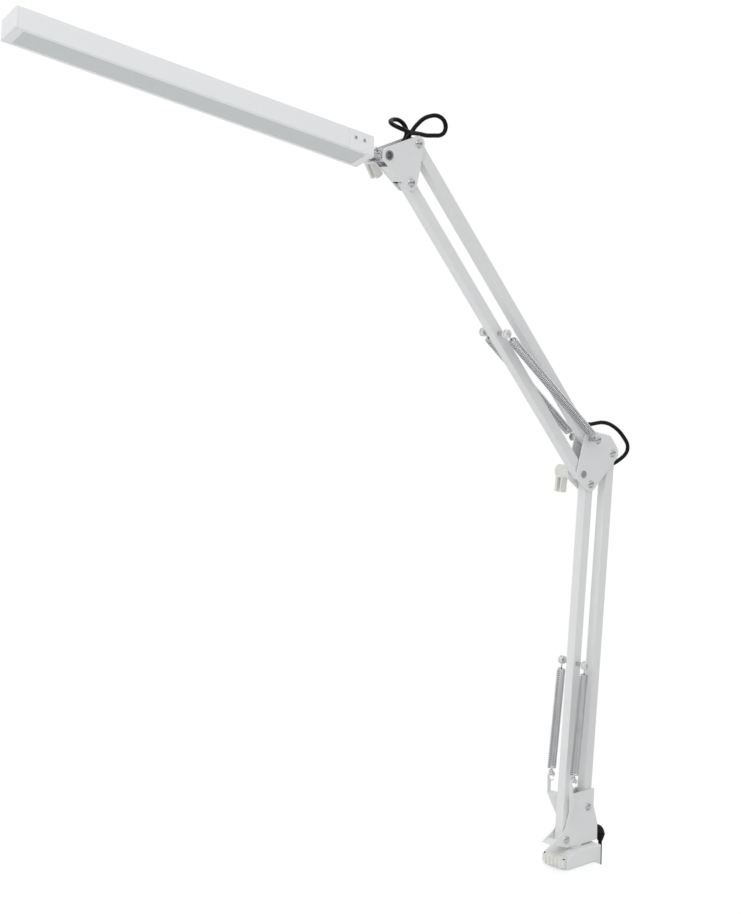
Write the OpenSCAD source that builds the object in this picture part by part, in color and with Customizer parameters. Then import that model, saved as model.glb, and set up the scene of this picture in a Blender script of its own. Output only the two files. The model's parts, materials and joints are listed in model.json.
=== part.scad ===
// Clamp-on LED desk lamp on a sprung double parallelogram arm, shown in the pose of the photograph.
// Millimetres, +Z up. The arm works in the XZ plane, the light points away towards -X, and the
// clamp's upper jaw rests on the desk at Z = 0 with the swivel axis on the Z axis.

/* [Arms] */
// Distance between the two pivots of every arm tube
arm_len = 360; // [240:5:480]
// Width of the square arm tubes
tube_w = 10; // [8:0.5:14]
// Wall thickness of the arm tubes
tube_wall = 1.2; // [0.8:0.1:2]
// How far a tube runs on past its pivot
tube_past = 6; // [5:0.5:8]
// Lean of the lower arm towards +X
lower_lean = 4.2; // [0:0.1:15]
// Lean of the upper arm towards -X
upper_lean = 38.5; // [20:0.5:60]

/* [Pivots] */
// Radius of the rivet and pin shanks
pin_r = 2; // [1.5:0.1:2.6]
// Radius of the rivet heads
rivet_r = 4; // [3:0.1:5]
// Height of the domed rivet heads
rivet_h = 1.8; // [1.2:0.1:2.5]
// Radius of the nylon washers beside the tubes
washer_r = 4.6; // [3.6:0.1:5.5]
// Thickness of the nylon washers
washer_t = 0.7; // [0.4:0.1:1.2]

/* [Sheet brackets] */
// Thickness of the bracket plates
plate_t = 1.2; // [0.8:0.1:2]
// Radius of the elbow plates round their pivots
elbow_round = 8.5; // [7:0.1:11]
// Radius of the head bracket round its pivots
head_round = 7; // [6:0.1:9]
// Reach of the base bracket's toes towards -X from the front pivot
toe_reach = 21; // [16:0.5:28]
// Height of the base cheeks above the front pivot
cheek_rise = 46; // [40:0.5:56]

/* [Springs] */
// Radius from a spring's axis to its wire
spring_r = 3.6; // [2.8:0.1:5]
// Radius of the spring wire
wire_r = 0.8; // [0.5:0.05:1]
// Curls of each lower spring
lower_curls = 12; // [8:1:14]
// Curls of each upper spring
upper_curls = 17; // [10:1:20]
// Distance of the spring axes from the arm plane
spring_y = 15.7; // [13:0.1:20]

/* [Lamp head] */
// Overall length of the light bar
bar_len = 337; // [250:1:450]
// Width of the light bar
bar_w = 26; // [20:0.5:40]
// Height of the light bar
bar_h = 19; // [16:0.5:28]
// Wall thickness of the bar's extrusion
bar_wall = 1.4; // [1:0.1:2]
// Length of the end block beside the joint
block_len = 26; // [20:0.5:40]
// Width of the window that the diffuser fills
window_w = 20; // [14:0.5:22]
// Upward tilt of the bar
bar_pitch = 17.2; // [0:0.1:40]
// Roll of the bar about the joint's spigot
bar_roll = 21.3; // [0:0.1:45]
// Number of LED chips on the board
chips = 40; // [20:1:60]

/* [Clamp] */
// Length of the clamp's upper jaw
jaw_len = 48; // [40:0.5:60]
// Width of the clamp
jaw_w = 34; // [28:0.5:44]
// Height of the upper jaw
jaw_h = 16; // [14:0.5:22]
// Height of the throat that takes the desk top
throat = 62; // [40:1:80]
// Desk thickness that the pressure pad is set to
desk_t = 25; // [15:1:50]
// Thickness of the lower jaw
lower_jaw = 12; // [10:0.5:18]
// Thickness of the clamp's spine
spine_t = 8; // [6:0.5:10]
// Radius of the clamp screw
screw_r = 4; // [3:0.1:5]
// Length of the sliding handle
handle_len = 60; // [40:1:64]
// Radius of the swivel pin
swivel_r = 5; // [4:0.1:6]

/* [Leads] */
// Radius of the low-voltage lead
cord_r = 2; // [1.5:0.1:2.5]
// Radius of the put-away coil's turns
coil_r = 24; // [20:0.5:28]
// Turns of the put-away coil
coil_turns = 7; // [4:1:8]
// Distance from one turn to the next
coil_pitch = 5; // [4.6:0.1:6]

/* [Hidden] */

// Round surfaces, small round surfaces and the hull corners
fine = 64;
mid = 32;

// Running clearance of pins in bores, side clearance of stacked parts and the clearance of the
// far pivots that close each parallelogram
run = 0.05;
side = 0.05;
far_play = 0.3;

// Pivot points in the arm plane as [x, z]
front_base = [-16, 27];
base_step = [30.5, 28];
elbow_step = [-10.5, 11];
elbow_rise = [8.5, 34];
head_step = [-25.5, 23.5];
lower_run = arm_len * [sin(lower_lean), cos(lower_lean)];
upper_run = arm_len * [-sin(upper_lean), cos(upper_lean)];
b2 = front_base;
b1 = b2 + base_step;
e4 = b2 + lower_run;
e3 = b1 + lower_run;
e2 = e4 + elbow_step;
e1 = e2 + elbow_rise;
h2 = e2 + upper_run;
h1 = e1 + upper_run;
hb = h2 + head_step;

// Sheet faces beside the tubes
gap_in = tube_w / 2 + 2 * side + washer_t;
gap_out = gap_in + plate_t;

// Lead holes in the rear tubes, as distances from the nearer pivot
elbow_hole = 12.7;
upper_hole = 12;
head_hole = 14;

// Spring pins on the front tubes, as shares of the arm's length
lower_share = 0.5;
upper_share = 0.51;
lower_pin = b2 + lower_share * lower_run;
upper_pin = e2 + upper_share * upper_run;
hook_rise = 61;
hook_at = b2 + [0, hook_rise];

white = [0.93, 0.93, 0.92];
cream = [0.9, 0.89, 0.82];
steel = [0.72, 0.73, 0.74];
dark = [0.1, 0.1, 0.11];
nylon = [0.88, 0.88, 0.86];
milk = [0.86, 0.88, 0.88];
bare = [0.8, 0.81, 0.82];

// Places an arm-plane point and turns +Z towards -Y, so a child extruded by h ends at y_top - h
module on_plane(p, y_top) translate([p[0], y_top, p[1]]) rotate([90, 0, 0]) children();

// A round bar across the arm plane from y_lo to y_hi
module cross_bar(p, r, y_lo, y_hi) on_plane(p, y_hi) cylinder(r = r, h = y_hi - y_lo, $fn = mid);

// A flat plate with rounded corners, each disc given as [x, z, radius]
module plate(discs, y_top, t)
  translate([0, y_top, 0]) rotate([90, 0, 0]) linear_extrude(t)
    hull() for (d = discs) translate([d[0], d[1]]) circle(r = d[2], $fn = mid);

// A domed head that stands out from y_face towards side s
module dome(p, r, h, y_face, s)
  translate([p[0], y_face, p[1]]) rotate([-90 * s, 0, 0])
    difference() {
      scale([1, 1, h / r]) sphere(r = r, $fn = mid);
      translate([0, 0, -r]) cube(2 * r, center = true);
    }

// A rivet through both plates of a bracket
module rivet(p) {
  cross_bar(p, pin_r, -gap_out, gap_out);
  for (s = [-1, 1]) dome(p, rivet_r, rivet_h, s * gap_out, s);
}

// Two thin washers that fill the gaps beside a tube
module washer_pair(p)
  for (s = [-1, 1])
    difference() {
      cross_bar(p, washer_r, min(s * (gap_in - side), s * (gap_in - side - washer_t)),
        max(s * (gap_in - side), s * (gap_in - side - washer_t)));
      cross_bar(p, pin_r + run, -gap_out, gap_out);
    }

// A square tube with rounded open ends from pivot p, its own axis along the lean angle. Each lead
// hole is given as [distance from the pivot, side].
lead_play = 0.4;
module arm_tube(p, lean, extra_bore, end_play, lead_holes)
  translate([p[0], 0, p[1]]) rotate([0, lean, 0])
    difference() {
      intersection() {
        translate([-tube_w / 2, -tube_w / 2, -tube_past])
          cube([tube_w, tube_w, arm_len + 2 * tube_past]);
        union() {
          for (z = [0, arm_len])
            translate([0, tube_w, z]) rotate([90, 0, 0]) cylinder(r = tube_past, h = 2 * tube_w, $fn = fine);
          translate([-tube_w, -tube_w, 0]) cube([2 * tube_w, 2 * tube_w, arm_len]);
        }
      }
      translate([-tube_w / 2 + tube_wall, -tube_w / 2 + tube_wall, -2 * tube_past])
        cube([tube_w - 2 * tube_wall, tube_w - 2 * tube_wall, arm_len + 4 * tube_past]);
      cross_bar([0, 0], pin_r + run, -tube_w, tube_w);
      cross_bar([0, arm_len], pin_r + run + end_play, -tube_w, tube_w);
      if (extra_bore > 0) cross_bar([0, extra_bore * arm_len], pin_r + run, -tube_w, tube_w);
      for (hole = lead_holes)
        translate([0, 0, hole[0]]) rotate([0, hole[1] * 90, 0])
          cylinder(r = cord_r + lead_play, h = tube_w, $fn = mid);
    }

// Clamp: jaw, spine and lower jaw sizes that follow from the values above
insert_d = 7;
insert_out = 4;
insert_w = 30;
insert_h = 10;
slope_from = -12;
slope_end = 11;
insert_z = 2;
rib_d = 1.2;
ribs = 5;
rib_rise = 1.2;
rib_pitch = 5.2;
insert_front = -jaw_len / 2 - insert_out;
insert_back = -jaw_len / 2 + insert_d;
pin_x = insert_front + 2.2;
insert_pin_r = 1.2;
bush_wall = 2;
bush_flange = 1.6;
socket_depth = 13;
pad_r = 12;
pad_t = 4;
screw_x = -4;
screw_len = 80;
thread_play = 0.1;
handle_r = 2.5;
knob_ball = 4.5;
bracket_floor = jaw_h + bush_flange + 2 * side;
lower_top = -throat;

// The upper jaw falls away towards its end; over is the height that a piece keeps above that slope
slope_rate = (jaw_h - slope_end) / (slope_from + jaw_len / 2);
module above_slope(over) rotate([90, 0, 0]) linear_extrude(2 * jaw_w, center = true)
  polygon([[slope_from, 2 * jaw_h], [slope_from, jaw_h + over], [-jaw_len, slope_end + over
    - slope_rate * jaw_len / 2], [-jaw_len, 2 * jaw_h]]);
module clamp_frame() color(white) difference() {
  union() {
    difference() {
      translate([-jaw_len / 2, -jaw_w / 2, 0]) cube([jaw_len, jaw_w, jaw_h]);
      above_slope(0);
    }
    translate([jaw_len / 2 - spine_t, -jaw_w / 2, lower_top - lower_jaw])
      cube([spine_t, jaw_w, throat + lower_jaw + side]);
    translate([screw_x - pad_r, -jaw_w / 2, lower_top - lower_jaw])
      cube([jaw_len / 2 - screw_x + pad_r, jaw_w, lower_jaw]);
  }
  translate([-jaw_len, -insert_w / 2, insert_z]) cube([jaw_len / 2 + insert_d, insert_w, insert_h]);
  translate([0, 0, jaw_h - socket_depth]) cylinder(r = swivel_r + bush_wall + run, h = jaw_h, $fn = fine);
  translate([screw_x, 0, lower_top - 2 * lower_jaw])
    cylinder(r = screw_r + thread_play, h = 3 * lower_jaw, $fn = fine);
}

// Ribbed plastic jaw insert that fills the pocket in the clamp's front and stands out of it
pin_foot = 3;
pin_head = 0.8;
pin_side = insert_w / 2 - insert_pin_r - 0.4;
module insert_pin(r, over) for (y = [-1, 1])
  translate([pin_x, y * pin_side, pin_foot])
    cylinder(r = r, h = slope_end + slope_rate * (pin_x + jaw_len / 2) + over - pin_foot, $fn = mid);
module clamp_insert() color(cream) difference() {
  union() {
    difference() {
      translate([insert_front, -insert_w / 2 + side, insert_z + side])
        cube([insert_back - insert_front - side, insert_w - 2 * side, insert_h - 2 * side]);
      above_slope(rib_rise / 2);
    }
    difference() {
      for (i = [0 : ribs - 1])
        translate([insert_front - rib_d, (i - (ribs - 1) / 2) * rib_pitch - rib_d, insert_z + side])
          cube([insert_out + rib_d - side, 2 * rib_d, jaw_h]);
      above_slope(rib_rise);
    }
  }
  insert_pin(insert_pin_r + run, jaw_h);
}

// Two dark pins that hold the insert
module insert_pins() color(dark) insert_pin(insert_pin_r, pin_head);

// Flanged nylon bush that the swivel pin turns in
module swivel_bush() color(nylon) difference() {
  union() {
    translate([0, 0, jaw_h - socket_depth + side])
      cylinder(r = swivel_r + bush_wall, h = socket_depth, $fn = fine);
    translate([0, 0, jaw_h + side]) cylinder(r = swivel_r + 2 * bush_wall, h = bush_flange, $fn = fine);
  }
  cylinder(r = swivel_r + run, h = 2 * jaw_h, $fn = fine);
}

// Round pad that presses up under the desk
module pressure_pad() color(dark) difference() {
  translate([screw_x, 0, -desk_t - pad_t]) cylinder(r1 = pad_r - 1.5, r2 = pad_r, h = pad_t, $fn = fine);
  translate([screw_x, 0, -desk_t - 2 * pad_t]) cylinder(r = screw_r / 2 + run, h = pad_t * 1.5, $fn = mid);
}

// Clamp screw with its turned nose and the cross hole for the handle
module clamp_screw() color(steel) difference() {
  union() {
    translate([screw_x, 0, -desk_t - pad_t - side - screw_len])
      cylinder(r = screw_r, h = screw_len, $fn = fine);
    translate([screw_x, 0, -desk_t - pad_t - side]) cylinder(r = screw_r / 2, h = pad_t / 2, $fn = mid);
    translate([screw_x, 0, -desk_t - pad_t - side - screw_len])
      cylinder(r = screw_r + 2, h = 12, $fn = fine);
  }
  cross_bar([screw_x, -desk_t - pad_t - side - screw_len + 6], handle_r + run, -jaw_w, jaw_w);
}

// Sliding handle bar with a ball on each end
module clamp_handle() color(steel) {
  handle_z = -desk_t - pad_t - side - screw_len + 6;
  cross_bar([screw_x, handle_z], handle_r, -handle_len / 2, handle_len / 2);
  for (s = [-1, 1]) translate([screw_x, s * handle_len / 2, handle_z]) sphere(r = knob_ball, $fn = mid);
}

// Base bracket: two cheeks joined by a floor, a low lip between the toes and a tab for the lead
toe_z = bracket_floor + 8.5;
cheek_right = 44.5;
ear_base = 15;
ear_top = 45;
ear_w = 8;
hook_out = 5.2;
hook_in = 2.6;
hook_gap = 50;
lip_h = 3;
tab_x = 46;
lead_z = front_base[1] - 1;
neck_r = 4;
flange_h = 14;
module cheek(y_top)
  translate([0, y_top, 0]) rotate([90, 0, 0]) linear_extrude(plate_t)
    polygon([b2 + [-toe_reach, toe_z - b2[1]], b2 + [-6, 7.5], b2 + [-1.5, 12], b2 + [3.5, 27],
      b2 + [5, cheek_rise - 8], b2 + [6.5, cheek_rise], b2 + [39, cheek_rise], b2 + [38.5, 27.5],
      b2 + [cheek_right, 8], [b2[0] + cheek_right, bracket_floor], [b2[0] + 18, bracket_floor],
      [b2[0] + 3, bracket_floor + 1]]);
module ear(s) {
  hull() {
    translate(b2_at(4, ear_base, s * (gap_out - plate_t / 2))) cube([1, plate_t, 1], center = true);
    translate(b2_at(6, cheek_rise - 3, s * (gap_out - plate_t / 2))) cube([1, plate_t, 1], center = true);
    translate(b2_at(-1, ear_top, s * spring_y)) cube([ear_w, plate_t, 1], center = true);
  }
  translate([0, s * spring_y + plate_t / 2, 0]) rotate([90, 0, 0]) linear_extrude(plate_t)
    difference() {
      union() {
        translate(hook_at) circle(r = hook_out, $fn = mid);
        translate([b2[0] - 1 - ear_w / 2, b2[1] + ear_top - 0.5])
          square([ear_w / 2, hook_at[1] - b2[1] - ear_top]);
      }
      translate(hook_at) circle(r = hook_in, $fn = mid);
      translate(hook_at - [0, hook_out]) rotate(hook_gap / 2) square([2 * hook_out, hook_in]);
    }
}
function b2_at(x, z, y) = [b2[0] + x, y, b2[1] + z];
module base_bracket() color(white) difference() {
  union() {
    for (s = [-1, 1]) {
      cheek(s > 0 ? gap_out : -gap_in);
      ear(s);
    }
    translate([b2[0], -gap_in - side, bracket_floor]) cube([cheek_right, 2 * (gap_in + side), plate_t]);
    translate([b2[0] - toe_reach + 1, -gap_in - side, toe_z - 0.6]) rotate([0, -16, 0])
      cube([9, 2 * (gap_in + side), plate_t]);
    translate([b2[0] + cheek_right - plate_t, -gap_in - side, bracket_floor])
      cube([plate_t, 2 * (gap_in + side), flange_h]);
  }
  for (p = [b2, b1]) cross_bar(p, pin_r + run, -jaw_w, jaw_w);
  translate([b2[0] + cheek_right - 2 * plate_t, 0, lead_z]) rotate([0, 90, 0])
    cylinder(r = neck_r + run, h = 4 * plate_t, $fn = fine);
  cylinder(r = swivel_r - 1 + run, h = 2 * b2[1], $fn = fine);
}

// Swivel pin, riveted into the bracket's floor
module swivel_pin() color(steel) {
  translate([0, 0, jaw_h - socket_depth + 2 * side])
    cylinder(r = swivel_r, h = socket_depth + bush_flange, $fn = fine);
  translate([0, 0, jaw_h]) cylinder(r = swivel_r - 1, h = bush_flange + 2 * plate_t, $fn = fine);
  translate([0, 0, bracket_floor + plate_t + side]) cylinder(r = swivel_r, h = 1.2, $fn = fine);
}

module base_rivets() color(steel) for (p = [b2, b1]) rivet(p);
module base_washers() color(nylon) for (p = [b2, b1]) washer_pair(p);

// Moulded strain relief that turns the lead down behind the clamp
relief_r = 4.6;
relief_bend = 8;
relief_step = 0.4;
relief_x = b2[0] + cheek_right + side;
module strain_relief() color(dark) difference() {
  union() {
    translate([relief_x - 3 * plate_t, 0, lead_z]) rotate([0, 90, 0])
      cylinder(r = neck_r, h = 3 * plate_t + 1, $fn = fine);
    translate([relief_x, 0, lead_z]) rotate([0, 90, 0])
      cylinder(r = relief_r + relief_step, h = 5, $fn = fine);
    translate([relief_x + 4, 0, lead_z - relief_bend]) rotate([90, 0, 0])
      rotate_extrude(angle = 90, $fn = fine) translate([relief_bend, 0]) circle(r = relief_r, $fn = mid);
    translate([relief_x + 4 + relief_bend, 0, lead_z - relief_bend - 6])
      cylinder(r1 = cord_r + 0.8, r2 = relief_r + relief_step, h = 7, $fn = fine);
  }
  translate([relief_x + 4 + relief_bend, 0, lead_z - relief_bend - 6 - 1])
    cylinder(r = cord_r + run, h = 3.5, $fn = mid);
}

// Lower arm
module lower_front_tube() color(white) arm_tube(b2, lower_lean, lower_share, 0, []);
module lower_rear_tube() color(white) arm_tube(b1, lower_lean, 0, far_play, [[arm_len - elbow_hole, 1]]);

// A spring pin across a front tube, with a grooved plastic cap on each end
cap_r = 4.2;
cap_w = 4.5;
groove_r = 2.8;
groove_w = 2;
module spring_pin(p) cross_bar(p, pin_r, -spring_y - cap_w / 2 + 1, spring_y + cap_w / 2 - 1);
module pin_caps(p)
  for (s = [-1, 1])
    translate([p[0], s * spring_y, p[1]]) rotate([90, 0, 0])
      difference() {
        union() {
          cylinder(r = groove_r, h = cap_w, center = true, $fn = mid);
          for (e = [-1, 1]) translate([0, 0, e * (cap_w + groove_w) / 4])
            cylinder(r = cap_r, h = (cap_w - groove_w) / 2, center = true, $fn = mid);
        }
        translate([0, 0, s > 0 ? 1 : -1]) cylinder(r = pin_r + run, h = cap_w, center = true, $fn = mid);
      }
module lower_spring_pin() color(steel) spring_pin(lower_pin);
module lower_pin_caps() color(white) pin_caps(lower_pin);
module upper_spring_pin() color(steel) spring_pin(upper_pin);
module upper_pin_caps() color(white) pin_caps(upper_pin);

// Tube swept along a list of points, with a frame carried from ring to ring
function unit(v) = v / norm(v);
function tangent(p, i) = unit(p[min(i + 1, len(p) - 1)] - p[max(i - 1, 0)]);
function flat_to(u, t) = unit(u - (u * t) * t);
function frames(p, first) =
  [for (i = 0, u = flat_to(first, tangent(p, 0)); i < len(p);
    i = i + 1, u = i < len(p) ? flat_to(u, tangent(p, i)) : u) u];
module sweep(p, r, sides, first) {
  f = frames(p, first);
  rings = [for (i = [0 : len(p) - 1]) let (t = tangent(p, i), v = cross(t, f[i]))
    for (k = [0 : sides - 1]) p[i] + r * (cos(360 * k / sides) * f[i] + sin(360 * k / sides) * v)];
  last = (len(p) - 1) * sides;
  polyhedron(rings, concat(
    [[for (k = [0 : sides - 1]) k]],
    [[for (k = [sides - 1 : -1 : 0]) last + k]],
    [for (i = [0 : len(p) - 2]) for (k = [0 : sides - 1]) let (n = (k + 1) % sides)
      for (tri = [[k, sides + k, sides + n], [k, sides + n, n]]) [for (c = tri) i * sides + c]]),
    convexity = 10);
}

// Points of a spring from a to b: straight ends on the axis and one helix between them
spring_lead = 5;
rings_per_curl = 8;
ramp = 6;
function spring_path(a, b, curls) =
  let (axis = unit(b - a), length = norm(b - a), u = [0, 1, 0], v = cross(axis, u),
    steps = curls * rings_per_curl, rise = (length - 2 * spring_lead) / steps)
  concat([a, a + 2 * wire_r * axis],
    [for (k = [0 : steps])
      let (reach = spring_r * min(1, k / ramp, (steps - k) / ramp), turn = 360 * k / rings_per_curl)
      a + (spring_lead + k * rise) * axis + reach * (cos(turn) * u + sin(turn) * v)],
    [b - 2 * wire_r * axis, b]);
function lift(p, y) = [p[0], y, p[1]];
function toward(a, b, d) = a + d * unit(b - a);
module spring(a, gap_a, b, gap_b, curls)
  sweep(spring_path(toward(a, b, gap_a), toward(b, a, gap_b), curls), wire_r, 6, [0, 1, 0]);

end_gap = 0.15;

// Least gap of a wound tube to itself, measured between points at least one turn's share apart
function least_gap(p, r, apart) = min([for (i = [0 : len(p) - 1 - apart])
  min([for (j = [i + apart : len(p) - 1]) norm(p[i] - p[j])])]) - 2 * r;
module lower_spring(s)
  spring(lift(hook_at, s * spring_y), hook_out + end_gap, lift(lower_pin, s * spring_y),
    groove_r + end_gap, lower_curls);
module upper_spring(s)
  spring(lift(e1, s * spring_y), pin_r + end_gap, lift(upper_pin, s * spring_y),
    groove_r + end_gap, upper_curls);
module lower_spring_front() color(bare) lower_spring(-1);
module lower_spring_back() color(bare) lower_spring(1);
module upper_spring_front() color(bare) upper_spring(-1);
module upper_spring_back() color(bare) upper_spring(1);

// Elbow
function disc(p, r) = [p[0], p[1], r];
corner_step = [33, 27.5];
corner = e2 + corner_step;
module elbow_plate(y_top) color(white) difference() {
  plate([disc(e1, elbow_round), disc(e2, elbow_round + 1), disc(e3, elbow_round),
    disc(e4, elbow_round - 1), disc(corner, elbow_round)], y_top, plate_t);
  for (p = [e1, e2, e3, e4]) cross_bar(p, pin_r + run, -jaw_w, jaw_w);
}
module elbow_front_plate() elbow_plate(-gap_in);
module elbow_back_plate() elbow_plate(gap_out);
module elbow_rivets() color(steel) for (p = [e3, e4]) rivet(p);
module elbow_spring_pin() color(steel) {
  cross_bar(e1, pin_r, -spring_y - 2, spring_y + 2);
  for (s = [-1, 1]) dome(e1, rivet_r, rivet_h, s * (spring_y + 2), s);
}

// Friction bolt with a flat head in front and a one-sided wing knob behind
bolt_head = 3.5;
bolt_end = 22;
knob_from = 7.3;
wing_from = 17.6;
wing_to = 26.6;
wing_len = 21;
wing_half = 4;
hub_r = 6.5;
window_from = 19.4;
window_to = 23.8;
pocket_wall = 1.2;
module elbow_bolt() color(steel) {
  cross_bar(e2, pin_r, -gap_out, bolt_end);
  cross_bar(e2, bolt_head, -gap_out - 0.8, -gap_out - 0.01);
}
module elbow_washers() color(nylon) for (p = [e1, e2, e3, e4]) washer_pair(p);
module wing_knob(p, turn, bore)
  translate([p[0], 0, p[1]]) rotate([0, turn, 0]) difference() {
    union() {
      cross_bar([0, 0], hub_r, knob_from, wing_to);
      intersection() {
        translate([-wing_half, wing_from, -wing_len]) cube([2 * wing_half, wing_to - wing_from, wing_len]);
        cross_bar([0, 0], wing_len, wing_from, wing_to);
      }
    }
    translate([-2 * wing_half, window_from, -2 * wing_len])
      cube([3 * wing_half - pocket_wall, window_to - window_from, 2 * wing_len - hub_r]);
    cross_bar([0, 0], bore + run, 0, bolt_end + 1);
  }
elbow_wing = 8;
head_wing = -30;
module elbow_knob() color(cream) wing_knob(e2, elbow_wing, pin_r);
module upper_front_tube() color(white) arm_tube(e2, -upper_lean, upper_share, 0, []);
module upper_rear_tube() color(white)
  arm_tube(e1, -upper_lean, 0, far_play, [[upper_hole, 1], [arm_len - head_hole, -1]]);

// Head bracket: two plates joined by a web along their lower edge
web_dir = unit(h2 - hb);
web_from = 7;
web_to = 26;
hb_round = 7.5;
bush_r = 4.3;
bush_bore = 2.8;
module head_bracket() color(white) difference() {
  union() {
    for (y = [-gap_in, gap_out])
      plate([disc(hb, hb_round), disc(h1, head_round), disc(h2, head_round)], y, plate_t);
    translate(lift(hb, 0)) rotate([0, atan2(-web_dir[1], web_dir[0]), 0])
      translate([web_from, -gap_in - side, -head_round])
        cube([web_to - web_from, 2 * (gap_in + side), plate_t]);
  }
  for (p = [h1, h2]) cross_bar(p, pin_r + run, -jaw_w, jaw_w);
  cross_bar(hb, bush_r + run, -jaw_w, jaw_w);
}
module head_rivets() color(steel) for (p = [h1, h2]) rivet(p);
module head_washers() color(nylon) for (p = [h1, h2]) washer_pair(p);

// Hollow pivot bush of the head, open at the front and threaded for the knob's stud behind
module head_bush() color(steel) difference() {
  cross_bar(hb, bush_r, -gap_out - 0.6, gap_out);
  cross_bar(hb, bush_bore, -jaw_w, jaw_w);
}
module head_knob_stud() color(steel) cross_bar(hb, bush_bore - run, 0, bolt_end);
module head_knob() color(cream) wing_knob(hb, head_wing, bush_bore - run);

// Lug that tilts between the plates, with the spigot that the fork rolls on
lug_r = 6.3;
lug_y = gap_in - 0.3;
spigot_r = 2.2;
shoulder_r = 3.5;
socket_d = 1.2;
fork_from = 7.8;
fork_base = 2.4;
screw_at = 13.5;
screw_rise = 0.8;
fork_half = 6;
tongue_half = 3.3;
tongue_r = 3.2;
screw_shank = 1.6;
cheek_r = 4.5;
block_from = 7.4;
module head_link() color(steel) difference() {
  translate(lift(hb, 0)) union() {
    cross_bar([0, 0], lug_r, -lug_y, lug_y);
    rotate([0, -90, 0]) cylinder(r = shoulder_r, h = fork_from - side, $fn = mid);
    rotate([0, -90, 0]) cylinder(r = spigot_r, h = fork_from + fork_base, $fn = mid);
  }
  cross_bar(hb, bush_r + run, -jaw_w, jaw_w);
  translate(lift(hb, 0)) translate([lug_r - socket_d, 0, 0]) rotate([0, 90, 0])
    cylinder(r = cord_r + lead_play, h = lug_r, $fn = mid);
}

// Children are drawn in the fork's rolled frame, with the spigot along X
module rolled() translate(lift(hb, 0)) rotate([-bar_roll, 0, 0]) children();
module head_fork() color(steel) rolled() difference() {
  union() {
    translate([-fork_from, 0, 0]) rotate([0, -90, 0]) cylinder(r = fork_half, h = fork_base, $fn = mid);
    for (s = [-1, 1]) difference() {
      intersection() {
        union() {
          cross_bar([-screw_at, screw_rise], cheek_r, -fork_half, fork_half);
          translate([-screw_at, -fork_half, screw_rise - cheek_r])
            cube([screw_at - fork_from - fork_base + side, 2 * fork_half, 2 * cheek_r]);
        }
        translate([-2 * screw_at, s > 0 ? tongue_half + side : -fork_half, -fork_half])
          cube([2 * screw_at, fork_half - tongue_half - side, 3 * fork_half]);
      }
    }
  }
  translate([-2 * screw_at, 0, 0]) rotate([0, 90, 0])
    cylinder(r = spigot_r + run, h = 3 * screw_at, $fn = mid);
  cross_bar([-screw_at, screw_rise], screw_shank + run, -jaw_w, jaw_w);
}
module pivot_screw() color(steel) rolled() {
  cross_bar([-screw_at, screw_rise], screw_shank, -fork_half - side, fork_half + side);
  dome([-screw_at, screw_rise], rivet_r, 2, -fork_half - side, -1);
  cross_bar([-screw_at, screw_rise], rivet_r - 0.8, fork_half + side, fork_half + 2);
}

// Children are drawn in the bar's frame: the pivot screw at the origin and the bar along -X
module barred() rolled() translate([-screw_at, 0, screw_rise]) rotate([0, bar_pitch, 0]) children();
bar_end = block_from + bar_len;
cap_t = 2.5;
lip_z = -bar_h / 2 + bar_wall;
window_start = 6.9;
window_stop = 8.5;
recess = 0.4;
flange_half = window_w / 2 + 1.2;
diffuser_t = 1.2;
flange_t = 1;
module x_box(x_far, x_near, y_half, z_lo, z_hi)
  translate([-x_far, -y_half, z_lo]) cube([x_far - x_near, 2 * y_half, z_hi - z_lo]);
module end_block() color(white) barred() difference() {
  union() {
    x_box(block_from + block_len, block_from, bar_w / 2, -bar_h / 2, bar_h / 2);
    x_box(block_from + 1, 0, tongue_half, -tongue_r, tongue_r);
    cross_bar([0, 0], tongue_r, -tongue_half, tongue_half);
  }
  x_box(2 * bar_len, block_from + window_start, window_w / 2 + side, -bar_h, lip_z + flange_t + 2 * side);
  cross_bar([0, 0], screw_shank + run, -jaw_w, jaw_w);
  for (f = [0.25, 0.6]) cross_bar([-block_from - (1 - f) * block_len, 2], screw_2 + run, -jaw_w, -4);
}
screw_2 = 1.2;
module end_block_screws() color(dark) barred()
  for (f = [0.25, 0.6]) {
    cross_bar([-block_from - (1 - f) * block_len, 2], screw_2, -bar_w / 2 - side, -5);
    dome([-block_from - (1 - f) * block_len, 2], 1.8, 0.9, -bar_w / 2 - side, -1);
  }
module housing() color(white) barred() difference() {
  x_box(bar_end - cap_t - side, block_from + block_len + side, bar_w / 2, -bar_h / 2, bar_h / 2);
  x_box(2 * bar_len, 0, bar_w / 2 - bar_wall, lip_z, bar_h / 2 - bar_wall);
  x_box(2 * bar_len, 0, window_w / 2, -bar_h, 0);
}
module end_cap() color(white) barred() {
  x_box(bar_end, bar_end - cap_t, bar_w / 2, -bar_h / 2, bar_h / 2);
  x_box(bar_end - cap_t + 0.01, bar_end - window_stop, window_w / 2 - side, -bar_h / 2, lip_z - side);
}
module diffuser() color(milk) barred() {
  x_box(bar_end - window_stop - side, block_from + window_start + side, window_w / 2 - side,
    -bar_h / 2 + recess, lip_z + side + flange_t);
  x_box(bar_end - cap_t - 3, block_from + block_len + 0.5, flange_half, lip_z + side,
    lip_z + side + flange_t);
}
board_t = 1.2;
board_top = bar_h / 2 - bar_wall - side;
chip_t = 0.7;
chip_from = 18;
chip_ends = 40;
module led_board() color(bare) barred()
  x_box(bar_end - 15, block_from + block_len + 12, 6, board_top - board_t, board_top);
module led_chips() color([0.95, 0.9, 0.6]) barred()
  for (i = [0 : chips - 1])
    translate([-(block_from + block_len + chip_from + (bar_len - block_len - chip_ends) * i / (chips - 1)), 0,
      board_top - board_t - side - chip_t / 2]) cube([3.5, 2.8, chip_t], center = true);

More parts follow.
